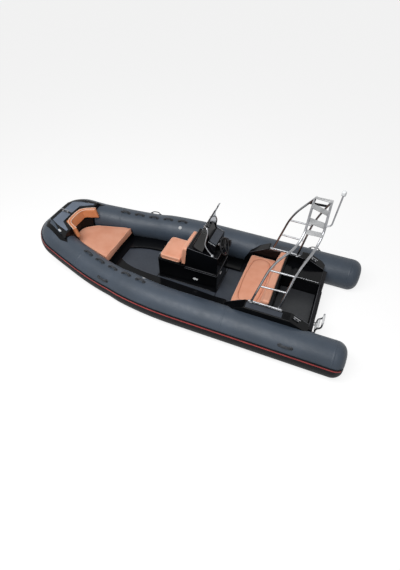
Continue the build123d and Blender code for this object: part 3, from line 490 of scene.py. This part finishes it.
leather, tree, shader, where = node_tree("upholstery")
drift = noise(tree, where, 4)
tree.links.new(between(tree, drift, (0.72, 0.31, 0.19), (0.82, 0.41, 0.275)),
               shader.inputs["Base Color"])
pores = tree.nodes.new("ShaderNodeTexVoronoi")
pores.inputs["Scale"].default_value = 420
tree.links.new(where, pores.inputs["Vector"])
skin = relief(tree, pores.outputs["Distance"], 0.00035)
tree.links.new(relief(tree, noise(tree, where, 22, 4.0), 0.0016, under=skin), shader.inputs["Normal"])
tree.links.new(between(tree, noise(tree, where, 60), 0.38, 0.52), shader.inputs["Roughness"])
shader.inputs["Specular IOR Level"].default_value = 0.4
shader.inputs["Sheen Weight"].default_value = 0.08
# A darker, deeper orange copy of the upholstery: painted shade for faces turned away from the light.
painted_shade_leather = finish("painted_shade_upholstery", (0.62, 0.21, 0.08), (0.72, 0.29, 0.13), 4,
                        (0.38, 0.52), 420, 0.0004)
# Pale piping, lighter than the cover it edges: a painted highlight along the top edges of the bow
# backrest.
painted_highlight_piping = finish("painted_highlight_piping", (0.88, 0.62, 0.48), (0.94, 0.72, 0.60), 30, (0.35, 0.48),
                      500, 0.0003)
piping_vinyl = finish("piping", (0.78, 0.42, 0.28), (0.88, 0.55, 0.40), 30, (0.35, 0.48), 500, 0.0003)


def tight_cover(name, node, body, voxel, shrink, cap, skin=leather):
    """A sewn cover on its foam: the pad's solid, drawn in by shrink, is remeshed and blown up as
    cloth. No point moves further than cap from where it started."""
    mesh = nodes[node].data.copy()
    mesh.name = name
    piece = bpy.data.objects.new(name, mesh)
    bpy.context.scene.collection.objects.link(piece)
    knit = bmesh.new()
    knit.from_mesh(mesh)
    bmesh.ops.remove_doubles(knit, verts=knit.verts, dist=1e-5)
    bmesh.ops.recalc_face_normals(knit, faces=knit.faces)
    knit.to_mesh(mesh)
    knit.free()
    bpy.context.view_layer.objects.active = piece
    for each in bpy.context.selected_objects:
        each.select_set(False)
    piece.select_set(True)
    even = piece.modifiers.new("even", "REMESH")
    even.mode = "VOXEL"
    even.voxel_size = voxel
    bpy.ops.object.modifier_apply(modifier="even")
    mesh = piece.data
    count = len(mesh.vertices)
    spot, out = np.empty(count * 3), np.empty(count * 3)
    mesh.vertices.foreach_get("co", spot)
    mesh.vertices.foreach_get("normal", out)
    start = (spot.reshape(-1, 3) - out.reshape(-1, 3) * shrink)
    mesh.vertices.foreach_set("co", start.ravel())
    mesh.update()
    cloth = piece.modifiers.new("cover", "CLOTH")
    cloth.settings.quality = 4
    cloth.settings.mass = 0.3
    cloth.settings.use_pressure = True
    cloth.settings.uniform_pressure_force = 4
    cloth.settings.effector_weights.gravity = 0
    cloth.settings.tension_stiffness = 20
    cloth.settings.compression_stiffness = 20
    cloth.settings.bending_stiffness = 1.0
    cloth.point_cache.frame_start, cloth.point_cache.frame_end = 1, 20
    for step in range(1, 21):
        bpy.context.scene.frame_set(step)
    shaped = piece.evaluated_get(bpy.context.evaluated_depsgraph_get())
    blown = np.empty(count * 3)
    shaped.data.vertices.foreach_get("co", blown)
    piece.modifiers.remove(cloth)
    bpy.context.scene.frame_set(1)
    move = blown.reshape(-1, 3) - start
    far = np.linalg.norm(move, axis=1, keepdims=True)
    start = start + move * np.minimum(1, cap * np.tanh(far / cap) / np.maximum(far, 1e-9))
    mesh.vertices.foreach_set("co", start.ravel())
    mesh.update()
    ease = piece.modifiers.new("ease", "SMOOTH")
    ease.factor, ease.iterations = 0.5, 6
    bpy.ops.object.modifier_apply(modifier="ease")
    mesh = piece.data
    mesh.polygons.foreach_set("use_smooth", np.ones(len(mesh.polygons), bool))
    mesh.materials.clear()
    mesh.materials.append(skin)
    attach(piece, body)
    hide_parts(node)
    return piece


def on_pad(piece, path, out=0.0):
    """The path laid on the pad: each point goes to the nearest point of the cover, raised by out."""
    tree = BVHTree.FromObject(piece, bpy.context.evaluated_depsgraph_get())
    hits = [tree.find_nearest(Vector(p)) for p in path]
    spots = np.array([h[0] for h in hits])
    ups = np.array([h[1] for h in hits])
    return spots + ups * out, ups


def softened(points, times, closed):
    """The line with its wriggles averaged out: each point moves to the mean of its neighbours."""
    for _ in range(times):
        mean = (np.roll(points, 1, 0) + np.roll(points, -1, 0)) / 2
        points = mean if closed else np.concatenate([points[:1], mean[1:-1], points[-1:]])
    return points


def piped(name, piece, lines, body, radius=0.0042, closed=True, sink=0.3, cord=piping_vinyl):
    """A piped seam round a pad: a round cord laid on the cover, sunk by a share of its radius."""
    cords = []
    for line in lines:
        spots, ups = on_pad(piece, even_path(line, 0.012, closed), radius * (1 - sink))
        spots = softened(spots, 4, closed)
        cords.append(drawn(spots, ring(radius, 8), up=ups, closed=closed))
    settle(name, cords, cord, body, wrap_rows=closed)


def pressed(piece, line, wide, deep, closed=True):
    """A sewn channel: points of the cover near the line sink by deep * exp(-(distance / wide)^2)."""
    spots, _ = on_pad(piece, even_path(line, 0.006, closed))
    mesh = piece.data
    count = len(mesh.vertices)
    spot, out = np.empty(count * 3), np.empty(count * 3)
    mesh.vertices.foreach_get("co", spot)
    mesh.vertices.foreach_get("normal", out)
    spot, out = spot.reshape(-1, 3), out.reshape(-1, 3)
    near = np.full(count, 9.0)
    for part in np.array_split(spots, max(len(spots) // 40, 1)):
        gap = np.linalg.norm(spot[:, None] - part[None], axis=2).min(1)
        near = np.minimum(near, gap)
    spot = spot - out * (deep * np.exp(-(near / wide) ** 2))[:, None]
    mesh.vertices.foreach_set("co", spot.ravel())
    mesh.update()


def round_corners(points, z, times=3, closed=True):
    """A level line through (x, y) corners at height z, its corners rounded."""
    return cut_corners([(x, y, z) for x, y in points], times, closed)


def rounded_box(x0, x1, y0, y1, corner):
    """(x, y) corners of a box whose corners are cut back by corner."""
    return [(x0 + corner, y0), (x1 - corner, y0), (x1, y0 + corner), (x1, y1 - corner),
            (x1 - corner, y1), (x0 + corner, y1), (x0, y1 - corner), (x0, y0 + corner)]


# The bow cushion: a flat five-sided pad between the tubes, piped round its top.
bow_cushion = tight_cover("bow_cushion_cover", "bow_cushion", "boat", 0.009, 0.006, 0.009)
half = [(1.378, 0.428), (1.560, 0.386), (1.985, 0.266), (2.146, 0.146), (2.190, 0.056)]
outline = half + [(x, -y) for x, y in reversed(half)]
piped("bow_cushion_piping", bow_cushion, [round_corners(outline, 0.351, 2)], "boat")

# The bow backrest: three padded faces in one cover, round the inside of the step. Its cover is
# painted shade, a darker orange than the other pads, and its piping a painted highlight.
bow_backrest = tight_cover("bow_backrest_cover", "bow_backrest", "boat", 0.009, 0.005, 0.007,
                           skin=painted_shade_leather)
inner = [(1.978, 0.286), (2.198, 0.180), (2.198, -0.180), (1.978, -0.286)]
outer = [(2.002, 0.338), (2.258, 0.203), (2.258, -0.203), (2.002, -0.338)]
piped("bow_backrest_piping", bow_backrest,
      [round_corners(line, 0.699, 2, False) for line in (inner, outer)], "boat", 0.006, closed=False,
      cord=painted_highlight_piping)

# The console seat and its backrest, sewn in the same leatherette.
console_seat = tight_cover("console_seat_cover", "console_seat_cushion", "seat_lid", 0.008, 0.006,
                           0.009)
piped("console_seat_piping", console_seat,
      [round_corners(rounded_box(0.086, 0.444, -0.244, 0.244, 0.04), 0.592, 2),
       round_corners(rounded_box(0.080, 0.450, -0.250, 0.250, 0.04), 0.530, 2)], "seat_lid")
console_backrest = tight_cover("console_backrest_cover", "console_backrest", "boat", 0.008, 0.005,
                               0.008)
face = [(0.066, -0.240, 0.530), (0.065, -0.243, 0.608), (0.040, -0.236, 0.850), (0.040, 0.236, 0.850),
        (0.065, 0.243, 0.608), (0.066, 0.240, 0.530)]
piped("console_backrest_piping", console_backrest, [cut_corners(face, 2, True)], "boat")

# The bench: a seat with a rounded panel sewn into its top, and a backrest along the bulkhead.
bench_seat = tight_cover("bench_seat_cover", "bench_cushion", "boat", 0.008, 0.006, 0.010)
panel = round_corners(rounded_box(-1.280, -0.930, -0.515, 0.515, 0.11), 0.385, 3)
pressed(bench_seat, panel, 0.014, 0.011)
# The cord in the sewn channel is a darker copy of the upholstery: a real seam, its darkness painted
# shade in the channel.
seam_shade_cord = finish("panel_seam_painted_shade", (0.36, 0.12, 0.06), (0.48, 0.18, 0.10), 60, (0.4, 0.5), 500, 0.0002)
piped("bench_panel_seam", bench_seat, [panel], "boat", 0.0035, cord=seam_shade_cord)
piped("bench_seat_piping", bench_seat,
      [round_corners(rounded_box(-1.330, -0.880, -0.577, 0.577, 0.05), 0.372, 2)], "boat")
bench_backrest = tight_cover("bench_backrest_cover", "bench_backrest", "boat", 0.009, 0.005, 0.008)
face = [(-1.314, -0.576, 0.400), (-1.358, -0.574, 0.598), (-1.358, 0.574, 0.598),
        (-1.314, 0.576, 0.400)]
piped("bench_backrest_piping", bench_backrest, [cut_corners(face, 3, True)], "boat")

# ---- Console trim ----------------------------------------------------------------------------------
# A thin satin strip, dark grey and so lighter than the black gelcoat, lies on each joint of the
# console mouldings: round the top of the body, above and below the flange it is bolted down on, and
# round the foot of the base. Its lighter grey is a painted highlight along these edges.


def strip(name, lines, radius, material, closed):
    """A half-round strip along each line."""
    grids = [drawn(even_path(line, 0.02, closed), ring(radius, 8), closed=closed) for line in lines]
    return settle(name, grids, material, wrap_rows=closed)


side_y = 0.262
top_rim = [(-0.056, side_y, 0.905), (-0.545, side_y, 0.851), (-0.550, side_y - 0.02, 0.850),
           (-0.550, 0.02 - side_y, 0.850), (-0.545, -side_y, 0.851), (-0.056, -side_y, 0.905),
           (-0.046, 0.02 - side_y, 0.906), (-0.046, side_y - 0.02, 0.906)]
flange_rim = round_corners(rounded_box(-0.557, 0.007, -0.269, 0.269, 0.01), 0.5095, 1)
foot_rim = round_corners(rounded_box(-0.553, 0.483, -0.265, 0.265, 0.028), 0.1165, 2)
# Dark grey strips on black gelcoat: a painted highlight along the moulded edges they lie on.
highlight_trim = finish("painted_highlight_edge", (0.045, 0.047, 0.056), (0.070, 0.073, 0.084), 14, (0.35, 0.45),
                  300, 0.00005)
strip("console_highlight_rims", [top_rim, flange_rim, foot_rim], 0.003, highlight_trim, True)
strip("console_joint_highlight", [[(-0.002, 0.2625, 0.470), (-0.5505, 0.2625, 0.470), (-0.5505, -0.2625, 0.470),
                         (-0.002, -0.2625, 0.470)]], 0.0025, highlight_trim, False)

# The side mouldings and the transom carry the same strip along their inner edges, a painted
# highlight, and a steel rod runs along the edge of the well locker.
box_line = [(-2.074, 0.432), (-1.805, 0.5605), (-1.131, 0.5605), (-0.838, 0.3845)]
caps = [[(x, side * 0.6035, z) for x, z in box_line] for side in (1, -1)]
caps.append([(-2.081, y, 0.3735) for y in (-0.60, 0.60)])
strip("inner_edge_highlights", [cut_corners(line, 1) for line in caps], 0.0038, highlight_trim,
      False)
strip("well_locker_rod", [[(-2.060, -0.262, 0.4425), (-1.500, -0.262, 0.4425)]], 0.0045, steel,
      False)

# ---- Dash ------------------------------------------------------------------------------------------
# A soft anti-glare pad on top of the pod, two round gauges with steel bezels on its after face, and
# the red battery switch below them.

pod_up = unit(np.array((-0.051, 0.0, 0.124)))
dash_middle = np.array((-0.424, 0.0, 1.0465)) + pod_up * 0.0015
dash_line = dash_middle + np.array((0, 1, 0)) * np.linspace(-0.186, 0.186, 40)[:, None]
settle("dash_pad", [drawn(dash_line, lens_shape(0.060, 0.005, 6.0, 24), up=pod_up)], deck_pad)

pod_edges = [[(-0.480, side * 0.1905, 1.0240), (-0.366, side * 0.1905, 1.0712)] for side in (1, -1)]
strip("pod_edge_trims", pod_edges, 0.0032, steel, False)

white_dial = finish("white_dial", (0.70, 0.71, 0.72), (0.80, 0.81, 0.82), 40, (0.2, 0.3), 300, 0.0001)


def disc(at, facing, radii, heights, count=40):
    """A turned piece: rings of the given radii at the given heights along the way it faces."""
    facing = unit(np.asarray(facing, float))
    across = unit(np.cross(facing, (0, 0, 1)) if abs(facing[2]) < 0.9 else np.cross(facing, (0, 1, 0)))
    over = np.cross(facing, across)
    a = np.arange(count) * 2 * np.pi / count
    spoke = across * np.cos(a)[:, None] + over * np.sin(a)[:, None]
    return (np.asarray(at, float) + facing * np.asarray(heights)[:, None, None]
            + spoke[None] * np.asarray(radii)[:, None, None])


pod_face = unit(np.array((-0.191, 0.0, -0.008)))
bezels, dials = [], []
for y in (-0.058, 0.058):
    at = np.array((-0.4835, y, 0.962)) + pod_face * 0.0072
    bezels.append(disc(at, pod_face, (0.0235, 0.0265, 0.0262, 0.0235, 0.0205, 0.0205),
                       (-0.006, -0.006, 0.002, 0.0045, 0.003, -0.001)))
    dials.append(disc(at, pod_face, (0.0, 0.021, 0.021, 0.0), (-0.001, -0.001, 0.0008, 0.0012)))
settle("gauge_bezels", bezels, steel)
settle("gauge_dials", dials, white_dial)

red_ring = finish("switch_red", (0.42, 0.02, 0.02), (0.55, 0.04, 0.035), 40, (0.25, 0.35), 300, 0.0002)
switch_at = (-0.5503, -0.178, 0.614)
switch_body = disc(switch_at, (-1, 0, 0), (0, 0.030, 0.030, 0.027, 0.017, 0),
                   (0, 0, 0.006, 0.008, 0.009, 0.009))
switch_base = settle("battery_switch_body", [switch_body], red_ring)
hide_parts("battery_switch")
knob = disc(switch_at, (-1, 0, 0), (0, 0.014, 0.014, 0.011, 0), (0.007, 0.007, 0.019, 0.0215, 0.0215))
settle("battery_switch_knob", [knob], white_dial)

# ---- Screen trim -----------------------------------------------------------------------------------
# A round steel foot under each screen rail, and a black strip down each bent corner of the screen.

foot, head = np.array((-0.072, 0.223, 0.840)), np.array((-0.422, 0.055, 1.615))
share = np.linspace(0.07, 0.93, 40)[:, None]
corner_in = (0.060 + (0.034 - 0.060) * share) * 0.27
corner = foot + (head - foot) * share - corner_in * np.array((1, 1, 0))
rail_feet = [disc((-0.452, side * 0.233, 0.8625), (-0.11, 0, 1),
                  (0, 0.026, 0.026, 0.020, 0.0125, 0.0115, 0),
                  (0, 0, 0.004, 0.008, 0.014, 0.024, 0.024), 24) for side in (1, -1)]
settle("screen_rail_feet", rail_feet, steel)
strips = [drawn(corner * (1, side, 1), lens_shape(0.011, 0.0035, 4.0, 12), up=(0.7, 0.7 * side, 0.1))
          for side in (1, -1)]
settle("screen_corner_strips", strips, black_plastic)

# ---- Arch base and ladder --------------------------------------------------------------------------
# The arch stands on a stainless bar along each side moulding, bolted down at its feet. The ladder's
# treads are white plastic sleeves over its steel rungs.

bars, bolts, feet = [], [], []
for side in (1, -1):
    line = [(-1.165, side * 0.622, 0.568), (-1.180, side * 0.622, 0.580), (-1.650, side * 0.622, 0.580),
            (-1.665, side * 0.622, 0.568)]
    bars.append(drawn(even_path(cut_corners(line, 2), 0.01, False), ring(0.0125, 14), up=(0, side, 0.2)))
    bolts += [disc((x, side * 0.634, 0.5718), (0, 0, 1), (0.0, 0.007, 0.007, 0.004, 0.0),
                   (0, 0, 0.003, 0.005, 0.0055), 14) for x in (-1.20, -1.34, -1.48, -1.62)]
    feet += [disc((x, side * y, 0.5716), (0, 0, 1), (0, 0.030, 0.030, 0.020, 0.0172, 0.0168, 0),
                  (0, 0, 0.004, 0.008, 0.016, 0.030, 0.030), 28)
             for x, y in ((-1.2118, 0.6290), (-1.6165, 0.6024))]
settle("arch_base_bars", bars, steel)
settle("arch_base_bolts", bolts, steel)
settle("arch_feet", feet, steel)

ladder_x, ladder_z = -2.182, 0.216
treads = []
for dx, dz in ((0, 0.050), (-0.020, 0.136), (-0.064, 0.254)):
    y = np.linspace(0.392, 0.548, 24)
    line = np.stack([np.full(24, ladder_x + dx), y, np.full(24, ladder_z + dz)], -1)
    treads.append(drawn(line, lens_shape(0.0165, 0.0145, 3.0, 18), up=(0, 0, 1)))
settle("ladder_treads", treads, white_dial, "ladder")

# ---- Water, light and camera -----------------------------------------------------------------------
# A pale floor at the waterline, with soft light from above and from all round.


def direct_view(tree):
    """1 for a ray from the camera, off a glossy surface or through the screen, and 0 otherwise."""
    seen = tree.nodes.new("ShaderNodeLightPath")
    either = seen.outputs["Is Camera Ray"]
    for way in ("Is Glossy Ray", "Is Transmission Ray"):
        most = tree.nodes.new("ShaderNodeMath")
        most.operation = "MAXIMUM"
        tree.links.new(either, most.inputs[0])
        tree.links.new(seen.outputs[way], most.inputs[1])
        either = most.outputs[0]
    return either


floor_mesh = bpy.data.meshes.new("floor")
reach = 60
floor_mesh.from_pydata([(-reach, -reach, 0), (reach, -reach, 0), (reach, reach, 0), (-reach, reach, 0)],
                       [], [(0, 1, 2, 3)])
floor = bpy.data.objects.new("floor", floor_mesh)
bpy.context.scene.collection.objects.link(floor)
pale = bpy.data.materials.new("pale_floor")
pale.use_nodes = True
tree = pale.node_tree
shader = tree.nodes["Principled BSDF"]
shader.inputs["Base Color"].default_value = (0.30, 0.30, 0.30, 1)
shader.inputs["Roughness"].default_value = 0.9
shader.inputs["Specular IOR Level"].default_value = 0.0
glow = tree.nodes.new("ShaderNodeEmission")
both = tree.nodes.new("ShaderNodeAddShader")
lift = tree.nodes.new("ShaderNodeMath")
lift.operation = "MULTIPLY"
lift.inputs[1].default_value = 0.82
tree.links.new(direct_view(tree), lift.inputs[0])
tree.links.new(lift.outputs[0], glow.inputs["Strength"])
tree.links.new(shader.outputs[0], both.inputs[0])
tree.links.new(glow.outputs[0], both.inputs[1])
tree.links.new(both.outputs[0], tree.nodes["Material Output"].inputs["Surface"])
floor_mesh.materials.append(pale)

world = bpy.data.worlds.new("studio")
bpy.context.scene.world = world
world.use_nodes = True
tree = world.node_tree
sky = tree.nodes["Background"]
sky.inputs["Color"].default_value = (1, 1, 1, 1)
span = tree.nodes.new("ShaderNodeMapRange")
span.inputs["To Min"].default_value = 0.20
span.inputs["To Max"].default_value = 1.0
tree.links.new(direct_view(tree), span.inputs["Value"])
tree.links.new(span.outputs["Result"], sky.inputs["Strength"])

# One large soft lamp above the port side.
softbox = bpy.data.lights.new("softbox", "AREA")
softbox.shape = "RECTANGLE"
softbox.size, softbox.size_y = 5.5, 3.0
softbox.energy = 330
lamp = bpy.data.objects.new("softbox", softbox)
lamp.location = (0.3, 3.0, 5.6)
lamp.rotation_euler = (math.radians(-28), 0, 0)
bpy.context.scene.collection.objects.link(lamp)

# The camera stands off the port quarter and looks forward and down.
eye = (-1.8433, 4.2133, 4.6739)
yaw, pitch, roll = 0.37856, 0.81325, 0.01303
ahead = Vector((math.sin(yaw) * math.cos(pitch), -math.cos(yaw) * math.cos(pitch), -math.sin(pitch)))
level = ahead.cross(Vector((0, 0, 1))).normalized()
over = level.cross(ahead)
right = level * math.cos(roll) + over * math.sin(roll)
up = over * math.cos(roll) - level * math.sin(roll)
lens = bpy.data.cameras.new("camera")
lens.sensor_width, lens.lens = 36, 23.79
cam = bpy.data.objects.new("camera", lens)
cam.matrix_world = Matrix(((right.x, up.x, -ahead.x, eye[0]), (right.y, up.y, -ahead.y, eye[1]),
                           (right.z, up.z, -ahead.z, eye[2]), (0, 0, 0, 1)))
bpy.context.scene.collection.objects.link(cam)
bpy.context.scene.camera = cam
bpy.context.scene.view_settings.view_transform = "Standard"
